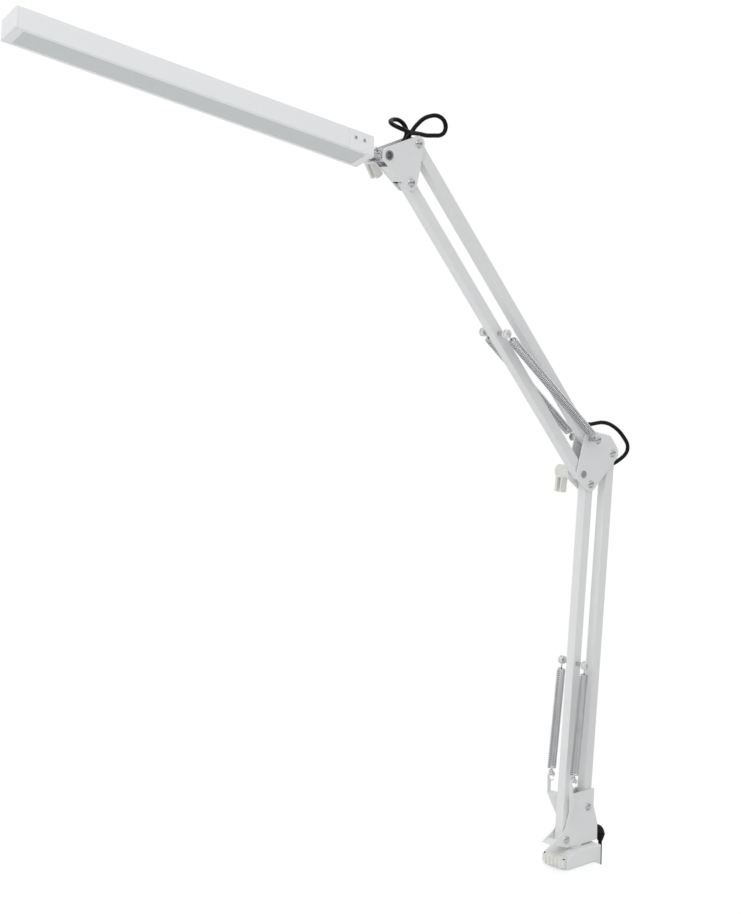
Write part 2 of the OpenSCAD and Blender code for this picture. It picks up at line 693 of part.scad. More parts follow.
// Smooth curve through hand-chosen points
function curve_at(a, b, c, d, t) =
  0.5 * (2 * b + (c - a) * t + (2 * a - 5 * b + 4 * c - d) * t * t + (3 * b - a - 3 * c + d) * t * t * t);
function smooth(p, spans) = concat(
  [for (i = [0 : len(p) - 2]) for (k = [0 : spans - 1])
    curve_at(p[max(i - 1, 0)], p[i], p[i + 1], p[min(i + 2, len(p) - 1)], k / spans)],
  [p[len(p) - 1]]);

// Lead at the elbow: out of the upper rear tube, round the elbow and into the lower rear tube
elbow_route = [for (q = [[-4.2, 12], [1.5, 13.8], [8, 13.6], [15.1, 14], [23.3, 14.1], [32.4, 12.3],
  [41, 8.4], [49, 3], [56, -3.8], [61.2, -10.8], [61.2, -17.4], [56.4, -22.4], [48, -26.4], [40.5, -29],
  [35.6, -30]]) lift(e1 + q, 0)];
module elbow_cord() color(dark) sweep(smooth(elbow_route, 4), cord_r, 8, [0, 1, 0]);

// Lead at the head: out of the upper rear tube, up between the plates, round a figure of eight and
// back between them into the lug
loop_route = [for (q = [[5.4, 0, -13.6], [1, 0, -17], [-5.5, -0.8, -18.2], [-11, -1.8, -14.5],
  [-12.8, -2.4, -7.5], [-11.5, -2.2, -1], [-8, -1.2, 5], [-2.1, 0.3, 10.6], [4.6, 1, 16.8],
  [13.3, 0.8, 22.8], [23, 0.4, 25.4], [30, 0, 24.8], [35.3, -0.4, 21.4], [37.3, -0.7, 16],
  [35, -1.1, 10.8], [29.6, -1.6, 8.2], [22.4, -2, 7.8], [12.5, -2.7, 7.7], [2.8, -3.7, 8.9],
  [-6.3, -5.6, 9.4], [-12.4, -7.3, 10.3], [-18.6, -7.7, 12], [-23.6, -5, 14.4], [-25, 0.2, 17],
  [-22.3, 5.2, 19.6], [-16.6, 8, 21.1], [-10.4, 8.8, 20.9], [-5.4, 8.4, 18.2], [-3.1, 7, 13.8],
  [-4.2, 4.9, 9.2], [-6.9, 3.5, 4.9], [-12.4, 2.6, -3.5], [-17.4, 2.3, -8.2], [-23, 1.5, -10.3],
  [-28.1, 0, -10.5]]) [h1[0] + q[0], q[1], h1[1] + q[2]]];
module head_loop() color(dark) sweep(smooth(loop_route, 2), cord_r, 8, [0, 1, 0]);

// Lead below the strain relief and its put-away coil, which hang behind the desk's edge
drop_x = relief_x + 4 + relief_bend;
drop_top = lead_z - relief_bend - 3.6;
coil_top = -70;
coil_y = coil_r;
coil_rings = 24;
tail = 50;
module lead_drop() color(dark)
  sweep([for (k = [0 : 12]) [drop_x, 0, drop_top + (coil_top - drop_top) * k / 12]], cord_r, 8, [0, 1, 0]);
coil_z = coil_top - 6;
tail_x = drop_x + coil_turns * coil_pitch;
coil_path = concat(
  [[drop_x, 0, coil_top - side], [drop_x, 0, coil_top - 4]],
  [for (k = [0 : coil_turns * coil_rings]) let (a = 360 * k / coil_rings)
    [drop_x + coil_pitch * k / coil_rings, coil_y - coil_r * cos(a), coil_z - coil_r * sin(a)]],
  [[tail_x, 0, coil_z - 8], [tail_x, 0, coil_z - tail / 2], [tail_x, 0, coil_z - tail]]);
module lead_coil() color(dark) sweep(coil_path, cord_r, 6, [0, 1, 0]);

// Hook-and-loop tie round the top of the coil
tie_gap = 0.5;
tie_t = 1.2;
tie_w = 9;
module coil_tie() color([0.2, 0.2, 0.21]) translate([0, coil_y, coil_z + coil_r]) difference() {
  translate([drop_x - cord_r - tie_gap - tie_t, -tie_w / 2, -cord_r - tie_gap - tie_t])
    cube([tail_x - drop_x + 2 * (cord_r + tie_gap + tie_t), tie_w, 2 * (cord_r + tie_gap + tie_t)]);
  translate([drop_x - cord_r - tie_gap, -tie_w, -cord_r - tie_gap])
    cube([tail_x - drop_x + 2 * (cord_r + tie_gap), 2 * tie_w, 2 * (cord_r + tie_gap)]);
}

// Plug-in power supply with two round pins, hanging on the lead's end
supply = [28, 40, 58];
supply_z = coil_z - tail - side;
plug_pin_r = 2;
plug_pin_len = 19;
plug_pin_side = 9.5;
plug_pin_drop = 40;
module power_plug() {
  color(dark) {
    translate([tail_x, 0, supply_z - 12]) cylinder(r1 = 5, r2 = 3.2, h = 12, $fn = mid);
    translate([tail_x, 0, supply_z - 11.9 - supply[2] / 2]) cube(supply, center = true);
  }
  color(steel) for (s = [-1, 1])
    translate([tail_x + supply[0] / 2 - 0.1, s * plug_pin_side, supply_z - plug_pin_drop]) rotate([0, 90, 0])
      cylinder(r = plug_pin_r, h = plug_pin_len, $fn = mid);
}

union() {
  echo(lower_spring_gap =
    least_gap(spring_path(lift(hook_at, 0), lift(lower_pin, 0), lower_curls), wire_r, 6));
  echo(upper_spring_gap =
    least_gap(spring_path(lift(e1, 0), lift(upper_pin, 0), upper_curls), wire_r, 6));
  echo(lead_coil_gap = least_gap(coil_path, cord_r, 12));
  echo(head_loop_gap = least_gap(smooth(loop_route, 4), cord_r, 16));
}

clamp_frame();
clamp_insert();
insert_pins();
swivel_bush();
pressure_pad();
clamp_screw();
clamp_handle();
swivel_pin();
base_bracket();
base_rivets();
base_washers();
strain_relief();
lower_front_tube();
lower_rear_tube();
lower_spring_pin();
lower_pin_caps();
lower_spring_front();
lower_spring_back();
elbow_front_plate();
elbow_back_plate();
elbow_rivets();
elbow_spring_pin();
elbow_bolt();
elbow_washers();
elbow_knob();
upper_front_tube();
upper_rear_tube();
upper_spring_pin();
upper_pin_caps();
upper_spring_front();
upper_spring_back();
head_bracket();
head_rivets();
head_washers();
head_bush();
head_knob();
head_knob_stud();
head_link();
head_fork();
pivot_screw();
end_block();
end_block_screws();
housing();
end_cap();
diffuser();
led_board();
led_chips();
elbow_cord();
head_loop();
lead_drop();
lead_coil();
coil_tie();
power_plug();
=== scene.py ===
# %% [markdown]
# # A clamp-on LED desk lamp
# The CAD model of the lamp is loaded as a fixed frame. Most of its pieces have the right shape
# already, so they keep their solids and get real finishes and soft edges here. The springs and the
# leads are made again, wound and bent more finely than in the CAD model, under a studio's light.
# Everything is in metres: Z is up, the arm works in the XZ plane and the desk top is at Z = 0.

# %% Load the frame and keep its box
import json
from math import cos, pi, radians, sin

import bmesh
import bpy
from mathutils import Matrix, Vector


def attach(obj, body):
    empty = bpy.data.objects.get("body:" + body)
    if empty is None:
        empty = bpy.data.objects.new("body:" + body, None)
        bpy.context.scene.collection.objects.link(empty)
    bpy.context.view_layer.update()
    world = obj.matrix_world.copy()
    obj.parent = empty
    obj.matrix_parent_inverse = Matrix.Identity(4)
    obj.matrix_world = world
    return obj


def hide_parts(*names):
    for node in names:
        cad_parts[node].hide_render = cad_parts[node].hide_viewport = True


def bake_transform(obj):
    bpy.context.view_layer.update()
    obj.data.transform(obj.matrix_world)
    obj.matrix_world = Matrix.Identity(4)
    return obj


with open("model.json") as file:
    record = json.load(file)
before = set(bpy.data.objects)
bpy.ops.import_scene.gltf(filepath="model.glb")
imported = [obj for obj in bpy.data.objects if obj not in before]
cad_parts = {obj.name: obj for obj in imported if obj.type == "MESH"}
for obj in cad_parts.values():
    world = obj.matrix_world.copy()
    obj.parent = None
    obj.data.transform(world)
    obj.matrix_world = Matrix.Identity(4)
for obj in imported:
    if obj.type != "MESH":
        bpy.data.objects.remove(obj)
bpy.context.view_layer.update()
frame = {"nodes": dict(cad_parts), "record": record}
scene = bpy.context.scene
MM = 0.001
SAME_POINT = 1e-6  # vertices closer than this are one

# %% [markdown]
# ## Camera
# A product shot of such a lamp is taken with a long lens from a few steps away, a little above the
# desk. The lens and place below were fitted to points and edges of the lamp in the photograph, so the
# picture's perspective is the one that the pieces were measured in.

# %% Camera at the photograph's angle
SENSOR_MM, LENS_MM = 36.0, 71.58
CAMERA_PLACE = (-1.2818, -1.2346, 0.6666)
LOOK_DOWN, LOOK_ROUND = radians(8.15), radians(-39.47)
camera_data = bpy.data.cameras.new("camera")
camera_data.sensor_width = SENSOR_MM
camera_data.lens = LENS_MM
camera_data.clip_end = 20.0
camera = bpy.data.objects.new("camera", camera_data)
camera.location = CAMERA_PLACE
camera.rotation_euler = (radians(90) - LOOK_DOWN, 0.0, LOOK_ROUND)
scene.collection.objects.link(camera)
scene.camera = camera
scene.view_settings.view_transform = "Standard"
print("camera at", tuple(round(v, 3) for v in camera.location))

# %% [markdown]
# ## Pivots of the arm
# Every place on the arm follows from a few lengths: the tubes are 360 mm from pivot to pivot, the
# lower arm leans 4.2 degrees to the right and the upper arm 38.5 degrees to the left. Keeping them as
# names lets the springs and leads meet the pieces that hold them.

# %% Pivot points, in metres, in the plane of the arm
ARM = 360 * MM
LOWER_LEAN, UPPER_LEAN = radians(4.2), radians(38.5)
LOWER_CROSS_AT, UPPER_CROSS_AT = 0.5, 0.51  # shares of a tube where the spring's cross pin sits


def at(x, z, y=0.0):
    """A point given in millimetres as x and z in the plane of the arm and y out of it."""
    return Vector((x * MM, y * MM, z * MM))


lower_run = ARM * Vector((sin(LOWER_LEAN), 0, cos(LOWER_LEAN)))
upper_run = ARM * Vector((-sin(UPPER_LEAN), 0, cos(UPPER_LEAN)))
base_pivot = at(-16, 27)
lower_end = base_pivot + lower_run
elbow_bolt = lower_end + at(-10.5, 11)
elbow_pin = elbow_bolt + at(8.5, 34)
head_low = elbow_bolt + upper_run
head_high = elbow_pin + upper_run
head_pivot = head_low + at(-25.5, 23.5)
lower_cross = base_pivot + LOWER_CROSS_AT * lower_run
upper_cross = elbow_bolt + UPPER_CROSS_AT * upper_run
hook = base_pivot + at(0, 61)
SPRING_Y = 15.7 * MM
print("elbow at", tuple(round(v, 3) for v in elbow_bolt))
print("head at", tuple(round(v, 3) for v in head_pivot))

# %% [markdown]
# ## Leads
# The lead is a black round cord, 4 mm thick. It shows in two places: an arc round the elbow and a
# figure of eight over the head bracket. Between them it is inside the tubes, and the rest hangs
# behind the desk's edge, coiled and tied. A cord is best made as one smooth curve through a few
# points, turned into a tube, because the curve keeps its thickness in every bend.

# %% A smooth line through points and the tube on it
CORD_R = 2 * MM
SPANS, CORD_SIDES, SUPPLY_SIDES = 10, 16, 12


def smooth_line(points, spans):
    """Points on a smooth curve that runs through all the given ones."""
    line = []
    for i in range(len(points) - 1):
        a, b = points[max(i - 1, 0)], points[i]
        c, d = points[i + 1], points[min(i + 2, len(points) - 1)]
        for k in range(spans):
            t = k / spans
            line.append(0.5 * (2 * b + (c - a) * t + (2 * a - 5 * b + 4 * c - d) * t * t
                               + (3 * b - a - 3 * c + d) * t ** 3))
    return line + [points[-1]]


def tube_mesh(name, line, radius, sides):
    """A closed tube on a line, made from a curve with a round bevel."""
    data = bpy.data.curves.new(name, "CURVE")
    data.dimensions = "3D"
    data.bevel_depth = radius
    data.bevel_resolution = sides // 4
    data.use_fill_caps = True
    spline = data.splines.new("POLY")
    spline.points.add(len(line) - 1)
    for point, place in zip(spline.points, line):
        point.co = (*place, 1.0)
    shaped = bpy.data.objects.new(name, data)
    scene.collection.objects.link(shaped)
    bpy.context.view_layer.update()
    mesh = bpy.data.meshes.new_from_object(shaped)
    bpy.data.objects.remove(shaped)
    bm = bmesh.new()
    bm.from_mesh(mesh)
    bmesh.ops.remove_doubles(bm, verts=bm.verts, dist=SAME_POINT)
    bmesh.ops.recalc_face_normals(bm, faces=bm.faces)
    bm.to_mesh(mesh)
    bm.free()
    mesh.name = name
    mesh.shade_smooth()
    piece = bpy.data.objects.new(name, mesh)
    scene.collection.objects.link(piece)
    return piece


def length_of(line):
    return sum((b - a).length for a, b in zip(line, line[1:]))


# %% Lead round the elbow
ELBOW_ROUTE = [(-4.2, 12), (1.5, 13.8), (8, 13.6), (15.1, 14), (23.3, 14.1), (32.4, 12.3), (41, 8.4),
               (49, 3), (56, -3.8), (61.2, -10.8), (61.2, -17.4), (56.4, -22.4), (48, -26.4),
               (40.5, -29), (35.6, -30)]
elbow_line = smooth_line([elbow_pin + at(x, z) for x, z in ELBOW_ROUTE], SPANS)
elbow_lead = tube_mesh("lead_at_elbow", elbow_line, CORD_R, CORD_SIDES)
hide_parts("elbow_cord")
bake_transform(elbow_lead)
print("elbow lead", round(length_of(elbow_line), 4), "m")

# %% Figure of eight at the head
LOOP_ROUTE = [(5.4, 0, -13.6), (1, 0, -17), (-5.5, -0.8, -18.2), (-11, -1.8, -14.5),
              (-12.8, -2.4, -7.5), (-11.5, -2.2, -1), (-8, -1.2, 5), (-2.1, 0.3, 10.6),
              (4.6, 1, 16.8), (13.3, 0.8, 22.8), (23, 0.4, 25.4), (30, 0, 24.8),
              (35.3, -0.4, 21.4), (37.3, -0.7, 16), (35, -1.1, 10.8), (29.6, -1.6, 8.2),
              (22.4, -2, 7.8), (12.5, -2.7, 7.7), (2.8, -3.7, 8.9), (-6.3, -5.6, 9.4),
              (-12.4, -7.3, 10.3), (-18.6, -7.7, 12), (-23.6, -5, 14.4), (-25, 0.2, 17),
              (-22.3, 5.2, 19.6), (-16.6, 8, 21.1), (-10.4, 8.8, 20.9), (-5.4, 8.4, 18.2),
              (-3.1, 7, 13.8), (-4.2, 4.9, 9.2), (-6.9, 3.5, 4.9), (-12.4, 2.6, -3.5),
              (-17.4, 2.3, -8.2), (-23, 1.5, -10.3), (-28.1, 0, -10.5)]
loop_line = smooth_line([head_high + at(x, z, y) for x, y, z in LOOP_ROUTE], SPANS)
head_lead = tube_mesh("lead_at_head", loop_line, CORD_R, CORD_SIDES)
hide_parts("head_loop")
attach(head_lead, "head_carrier")
print("head lead", round(length_of(loop_line), 4), "m")

# %% Lead below the strain relief, its coil and its tail
DROP_X, DROP_TOP, COIL_TOP = 40.55, 14.4, -70
COIL_R, COIL_TURNS, COIL_PITCH = 24, 7, 5
DROP_STEPS, TURN_STEPS = 12, 36
COIL_LEAD_IN, COIL_START = 4, 6  # how far below its top the coil is straight, and where it starts
TAIL_DROPS = (8, 25, 50)
coil_z = COIL_TOP - COIL_START
drop = COIL_TOP - DROP_TOP
lead_line = [at(DROP_X, DROP_TOP + drop * k / DROP_STEPS) for k in range(DROP_STEPS + 1)]
lead_line.append(at(DROP_X, COIL_TOP - COIL_LEAD_IN))
for k in range(COIL_TURNS * TURN_STEPS + 1):
    turn = 2 * pi * k / TURN_STEPS
    lead_line.append(at(DROP_X + COIL_PITCH * k / TURN_STEPS, coil_z - COIL_R * sin(turn),
                        COIL_R - COIL_R * cos(turn)))
tail_x = DROP_X + COIL_TURNS * COIL_PITCH
lead_line += [at(tail_x, coil_z - d) for d in TAIL_DROPS]
supply_lead = tube_mesh("supply_lead", lead_line, CORD_R, SUPPLY_SIDES)
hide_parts("lead_drop", "lead_coil")
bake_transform(supply_lead)
print("supply lead", round(length_of(lead_line), 4), "m")

# %% [markdown]
# ## Springs
# The arm is balanced by four extension springs of about 1.4 mm wire, stretched so that thin dark
# gaps show between the turns, with a hook at each end. Spinning a small circle round an axis while
# it climbs gives the winding in one step, and two more spins give the hooks.

# %% Wind a spring between two points
WIRE_R = 0.7 * MM
COIL_MEAN = 3.8 * MM
WIRE_SIDES = 8
TURN_FACES = 20
HOOK_SHARE, HOOK_FACES = 0.92, 28  # a hook is nearly a full ring


def wire_ring(bm, centre_r, turn_about, turns, climb, steps):
    """Spins a wire section round an axis, climbing a little at each step."""
    section = bmesh.ops.create_circle(bm, segments=WIRE_SIDES, radius=WIRE_R,
                                      cap_ends=False)["verts"]
    bmesh.ops.rotate(bm, verts=section, cent=(0, 0, 0), matrix=Matrix.Rotation(pi / 2, 3, "X"))
    bmesh.ops.translate(bm, verts=section, vec=(centre_r, 0, 0))
    edges = list({e for v in section for e in v.link_edges})
    bmesh.ops.spin(bm, geom=edges, cent=(0, 0, 0), axis=turn_about, angle=2 * pi * turns,
                   steps=steps, dvec=climb, use_merge=False)


def spring(name, low, high, low_free, high_free, low_hook, high_hook, turns):
    """A spring with a hook round each holder; free is the straight reach at each end."""
    along = (high - low).normalized()
    wound = (high - low).length - low_free - high_free
    bm = bmesh.new()
    steps = turns * TURN_FACES
    wire_ring(bm, COIL_MEAN, (0, 0, 1), turns, (0, 0, wound / steps), steps)
    bmesh.ops.translate(bm, verts=bm.verts, vec=(0, 0, low_free))
    for hook_r, centre_z, neck_z in ((low_hook, 0.0, low_free),
                                     (high_hook, (high - low).length, low_free + wound)):
        loop = bmesh.new()
        wire_ring(loop, hook_r, (0, 0, 1), HOOK_SHARE, (0, 0, 0), HOOK_FACES)
        upright = Matrix.Rotation(pi / 2, 3, "X")
        bmesh.ops.rotate(loop, verts=loop.verts, cent=(0, 0, 0), matrix=upright)
        bmesh.ops.translate(loop, verts=loop.verts, vec=(0, 0, centre_z))
        reach = abs(neck_z - centre_z) - hook_r
        neck = bmesh.ops.create_cone(loop, cap_ends=True, segments=WIRE_SIDES, radius1=WIRE_R,
                                     radius2=WIRE_R, depth=reach)["verts"]
        middle = (neck_z + centre_z + (hook_r if neck_z > centre_z else -hook_r)) / 2
        bmesh.ops.translate(loop, verts=neck, vec=(0, 0, middle))
        arm = bmesh.ops.create_cone(loop, cap_ends=True, segments=WIRE_SIDES, radius1=WIRE_R,
                                    radius2=WIRE_R, depth=COIL_MEAN + WIRE_R)["verts"]
        bmesh.ops.rotate(loop, verts=arm, cent=(0, 0, 0), matrix=Matrix.Rotation(pi / 2, 3, "Y"))
        bmesh.ops.translate(loop, verts=arm, vec=(COIL_MEAN / 2, 0, neck_z))
        part = bpy.data.meshes.new("hook")
        loop.to_mesh(part)
        loop.free()
        bm.from_mesh(part)
        bpy.data.meshes.remove(part)
    turn = along.to_track_quat("Z", "Y").to_matrix()
    bmesh.ops.rotate(bm, verts=bm.verts, cent=(0, 0, 0), matrix=turn)
    bmesh.ops.translate(bm, verts=bm.verts, vec=low)
    holes = [e for e in bm.edges if e.is_boundary]
    bmesh.ops.holes_fill(bm, edges=holes, sides=WIRE_SIDES)
    bmesh.ops.recalc_face_normals(bm, faces=bm.faces)
    mesh = bpy.data.meshes.new(name)
    bm.to_mesh(mesh)
    bm.free()
    mesh.shade_smooth()
    piece = bpy.data.objects.new(name, mesh)
    scene.collection.objects.link(piece)
    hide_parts(name)
    return piece


# %% Four springs, from their hooks to the cross pins
LOWER_TURNS, UPPER_TURNS = 52, 72
LOWER_FREE, UPPER_FREE = (4.6 * MM, 9.5 * MM), (9 * MM, 9 * MM)
LOWER_HOOKS, UPPER_HOOKS = (2.6 * MM, 3.5 * MM), (2.7 * MM, 3.5 * MM)
HOOK_RISE = at(0, 3.9)
springs = []
for side, y in (("front", -SPRING_Y), ("back", SPRING_Y)):
    out = Vector((0, y, 0))
    low, high = hook + out + HOOK_RISE, lower_cross + out
    name = "lower_spring_" + side
    lower_spring = spring(name, low, high, *LOWER_FREE, *LOWER_HOOKS, LOWER_TURNS)
    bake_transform(lower_spring)
    low, high = elbow_pin + out, upper_cross + out
    name = "upper_spring_" + side
    upper_spring = spring(name, low, high, *UPPER_FREE, *UPPER_HOOKS, UPPER_TURNS)
    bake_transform(upper_spring)
    springs += [lower_spring, upper_spring]
print("spring faces:", [len(s.data.polygons) for s in springs])

# %% [markdown]
# ## Screw recesses, painted as shade
# A cross-headed screw is known by the dark cross in its head, which is shade in its recess. The
# recess is not cut here: each cross is painted shade, two thin dark bars laid on the head where the
# CAD mesh reaches furthest along the screw's axis, so it follows any size.

# %% A cross of painted shade in each visible screw head
CROSS_T = 0.12 * MM
RIM_DEPTH = 0.35 * MM
CROSS_REACH, BAR_WIDTH = 0.62, 0.52  # shares of the head's radius and of the cross's own reach
CROSS_TURN = 0.35


def painted_cross_shade(name, node_name, outward, keep, body):
    """Lays painted recess shade, a dark cross, on the head of a screw; keep picks the vertices of that
    one screw.
    """
    node = frame["nodes"][node_name]
    places = [node.matrix_world @ v.co for v in node.data.vertices]
    places = [v for v in places if keep(v)]
    top = max(v.dot(outward) for v in places)
    rim = [v for v in places if v.dot(outward) > top - RIM_DEPTH]
    centre = sum(rim, Vector()) / len(rim)
    centre += outward * (top - centre.dot(outward))
    reach = max((v - centre).length for v in rim) * CROSS_REACH
    bm = bmesh.new()
    for turn in (CROSS_TURN, CROSS_TURN + pi / 2):
        bar = bmesh.ops.create_cube(bm, size=1.0)["verts"]
        bmesh.ops.scale(bm, verts=bar, vec=(2 * reach, BAR_WIDTH * reach, CROSS_T))
        bmesh.ops.rotate(bm, verts=bar, cent=(0, 0, 0), matrix=Matrix.Rotation(turn, 3, "Z"))
    facing = outward.to_track_quat("Z", "Y").to_matrix()
    bmesh.ops.rotate(bm, verts=bm.verts, cent=(0, 0, 0), matrix=facing)
    bmesh.ops.translate(bm, verts=bm.verts, vec=centre)
    mesh = bpy.data.meshes.new(name)
    bm.to_mesh(mesh)
    bm.free()
    piece = bpy.data.objects.new(name, mesh)
    scene.collection.objects.link(piece)
    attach(piece, body)
    return piece


BAR_ROLL = radians(21.3)
bar_side = Vector((0, -cos(BAR_ROLL), sin(BAR_ROLL)))
screws = frame["nodes"]["end_block_screws"]
screw_x = [(screws.matrix_world @ v.co).x for v in screws.data.vertices]
between = (min(screw_x) + max(screw_x)) / 2
# Each cross is painted shade: two flat dark bars standing for the shade in a screw's recess.
cross_shades = [
    painted_cross_shade("near_screw_cross_shade", "end_block_screws", bar_side, lambda v: v.x > between, "bar"),
    painted_cross_shade("far_screw_cross_shade", "end_block_screws", bar_side, lambda v: v.x <= between, "bar"),
    painted_cross_shade("pivot_screw_cross_shade", "pivot_screw", bar_side, lambda v: True, "fork"),
]
print("crosses:", len(cross_shades))

# %% [markdown]
# ## Desk and light
# The lamp is clamped to the edge of a white desk, which runs away to the left and hides the lower
# half of the clamp. The room is plain and bright: a soft sky from all round, a large lamp from the
# upper left, and white wherever the camera looks past the desk. Reflections see brighter and darker
# bands instead, which give the metal and the black leads their contrast.

# %% Desk top
DESK_T = 24.5 * MM
DESK_DEEP, DESK_WIDE, DESK_EDGE_X, DESK_ASIDE = 1.6, 2.4, 15.5 * MM, 0.1
DESK_PLAY, DESK_ROUND = 0.15 * MM, 1.5 * MM  # a hair of air above and below keeps faces apart
desk_middle = (DESK_EDGE_X - DESK_DEEP / 2, DESK_ASIDE, -DESK_T / 2 - DESK_PLAY)
bm = bmesh.new()
bmesh.ops.create_cube(bm, size=1.0)
bmesh.ops.scale(bm, verts=bm.verts, vec=(DESK_DEEP, DESK_WIDE, DESK_T - 2 * DESK_PLAY))
bmesh.ops.translate(bm, verts=bm.verts, vec=desk_middle)
bmesh.ops.bevel(bm, geom=bm.edges[:], offset=DESK_ROUND, segments=3, profile=0.5, material=-1,
                affect="EDGES")
desk_mesh = bpy.data.meshes.new("desk_top")
bm.to_mesh(desk_mesh)
bm.free()
desk = bpy.data.objects.new("desk_top", desk_mesh)
scene.collection.objects.link(desk)

# %% Soft sky that is white to the camera and banded in reflections
SKY_TINT, SKY_STRENGTH = (0.97, 0.985, 1.0, 1), 0.66
# Height of each band, from straight down at 0 to straight up at 1, and its brightness
BANDS = ((0.0, 0.3), (0.4, 0.12), (0.53, 0.1), (0.62, 0.85), (0.78, 1.0), (0.9, 0.35), (1.0, 0.9))
world = bpy.data.worlds.new("studio")
scene.world = world
world.use_nodes = True
tree = world.node_tree
tree.nodes.clear()
sky = tree.nodes.new("ShaderNodeBackground")
sky.inputs["Color"].default_value = SKY_TINT
sky.inputs["Strength"].default_value = SKY_STRENGTH
seen = tree.nodes.new("ShaderNodeBackground")
seen.inputs["Color"].default_value = (1, 1, 1, 1)
seen.inputs["Strength"].default_value = 1.0
ray = tree.nodes.new("ShaderNodeLightPath")
either = tree.nodes.new("ShaderNodeMath")
either.operation = "MAXIMUM"
mix = tree.nodes.new("ShaderNodeMixShader")
shiny = tree.nodes.new("ShaderNodeMixShader")
place = tree.nodes.new("ShaderNodeTexCoord")
height = tree.nodes.new("ShaderNodeSeparateXYZ")
bands = tree.nodes.new("ShaderNodeValToRGB")
for share, level in BANDS:
    if share in (0.0, 1.0):
        stop = bands.color_ramp.elements[int(share)]
    else:
        stop = bands.color_ramp.elements.new(share)
    stop.color = (level, level, level, 1)
rise = tree.nodes.new("ShaderNodeMapRange")
rise.inputs["From Min"].default_value = -1
room = tree.nodes.new("ShaderNodeBackground")
room.inputs["Strength"].default_value = 1.0
output = tree.nodes.new("ShaderNodeOutputWorld")
tree.links.new(ray.outputs["Is Camera Ray"], either.inputs[0])
tree.links.new(ray.outputs["Is Transmission Ray"], either.inputs[1])
tree.links.new(place.outputs["Generated"], height.inputs[0])
tree.links.new(height.outputs["Z"], rise.inputs["Value"])
tree.links.new(rise.outputs["Result"], bands.inputs["Fac"])
tree.links.new(bands.outputs["Color"], room.inputs["Color"])
tree.links.new(ray.outputs["Is Glossy Ray"], shiny.inputs["Fac"])
tree.links.new(sky.outputs[0], shiny.inputs[1])
tree.links.new(room.outputs[0], shiny.inputs[2])
tree.links.new(either.outputs[0], mix.inputs["Fac"])
tree.links.new(shiny.outputs[0], mix.inputs[1])
tree.links.new(seen.outputs[0], mix.inputs[2])
tree.links.new(mix.outputs[0], output.inputs["Surface"])


# %% Lamps of the studio
def soft_box(name, place, target, size, watts):
    data = bpy.data.lights.new(name, "AREA")
    data.shape = "SQUARE"
    data.size = size
    data.energy = watts
    lamp = bpy.data.objects.new(name, data)
    lamp.location = place
    lamp.rotation_euler = (Vector(target) - Vector(place)).to_track_quat("-Z", "Y").to_euler()
    scene.collection.objects.link(lamp)
    return lamp


key = soft_box("key", (-2.2, -0.9, 2.4), (-0.2, 0, 0.4), 1.6, 22)
top = soft_box("top", (0.3, 0.6, 3.0), (-0.1, 0, 0.4), 2.0, 12)
print("lamps:", [lamp.name for lamp in (key, top)])

# %% [markdown]
# ## Finishes
# Each finish is a small node tree on Object coordinates, so its grain keeps its size on every piece.
# Powder coat has a faint orange-peel surface, moulded plastic a finer grain with slight clouding, and
# plated metal an uneven gloss. One helper makes them all: a coarse noise varies the colour and the
# gloss a little, and a fine one makes the bump.


# %% A helper for finishes
GRAINS_PER_CLOUD = 40
DARK_AT, LIGHT_AT = 0.3, 0.7  # where in the cloud noise its darkest and lightest tones are reached
BUMP_STRENGTH = 0.35


def finish(name, colour, variation, rough_low, rough_high, grain, bump_depth, metal=0.0,
           stretch=(1, 1, 1), shine=0.5):
    """A surface with clouded colour, uneven gloss and a fine bump; grain is bumps per metre."""
    material = bpy.data.materials.new(name)
    material.use_nodes = True
    nodes, links = material.node_tree.nodes, material.node_tree.links
    shader = nodes["Principled BSDF"]
    shader.inputs["Metallic"].default_value = metal
    shader.inputs["Specular IOR Level"].default_value = shine
    place = nodes.new("ShaderNodeTexCoord")
    mapping = nodes.new("ShaderNodeMapping")
    mapping.inputs["Scale"].default_value = stretch
    links.new(place.outputs["Object"], mapping.inputs["Vector"])
    cloud = nodes.new("ShaderNodeTexNoise")
    cloud.inputs["Scale"].default_value = grain / GRAINS_PER_CLOUD
    cloud.inputs["Detail"].default_value = 3
    links.new(mapping.outputs["Vector"], cloud.inputs["Vector"])
    tone = nodes.new("ShaderNodeValToRGB")
    dark, light = tone.color_ramp.elements
    dark.position, light.position = DARK_AT, LIGHT_AT
    dark.color = (*[c * (1 - variation) for c in colour], 1)
    light.color = (*[min(1, c * (1 + variation)) for c in colour], 1)
    links.new(cloud.outputs["Fac"], tone.inputs["Fac"])
    links.new(tone.outputs["Color"], shader.inputs["Base Color"])
    gloss = nodes.new("ShaderNodeMapRange")
    gloss.inputs["To Min"].default_value = rough_low
    gloss.inputs["To Max"].default_value = rough_high
    links.new(cloud.outputs["Fac"], gloss.inputs["Value"])
    links.new(gloss.outputs["Result"], shader.inputs["Roughness"])
    peel = nodes.new("ShaderNodeTexNoise")
    peel.inputs["Scale"].default_value = grain
    peel.inputs["Detail"].default_value = 2
    links.new(mapping.outputs["Vector"], peel.inputs["Vector"])
    bump = nodes.new("ShaderNodeBump")
    bump.inputs["Strength"].default_value = BUMP_STRENGTH
    bump.inputs["Distance"].default_value = bump_depth
    links.new(peel.outputs["Fac"], bump.inputs["Height"])
    links.new(bump.outputs["Normal"], shader.inputs["Normal"])
    return material


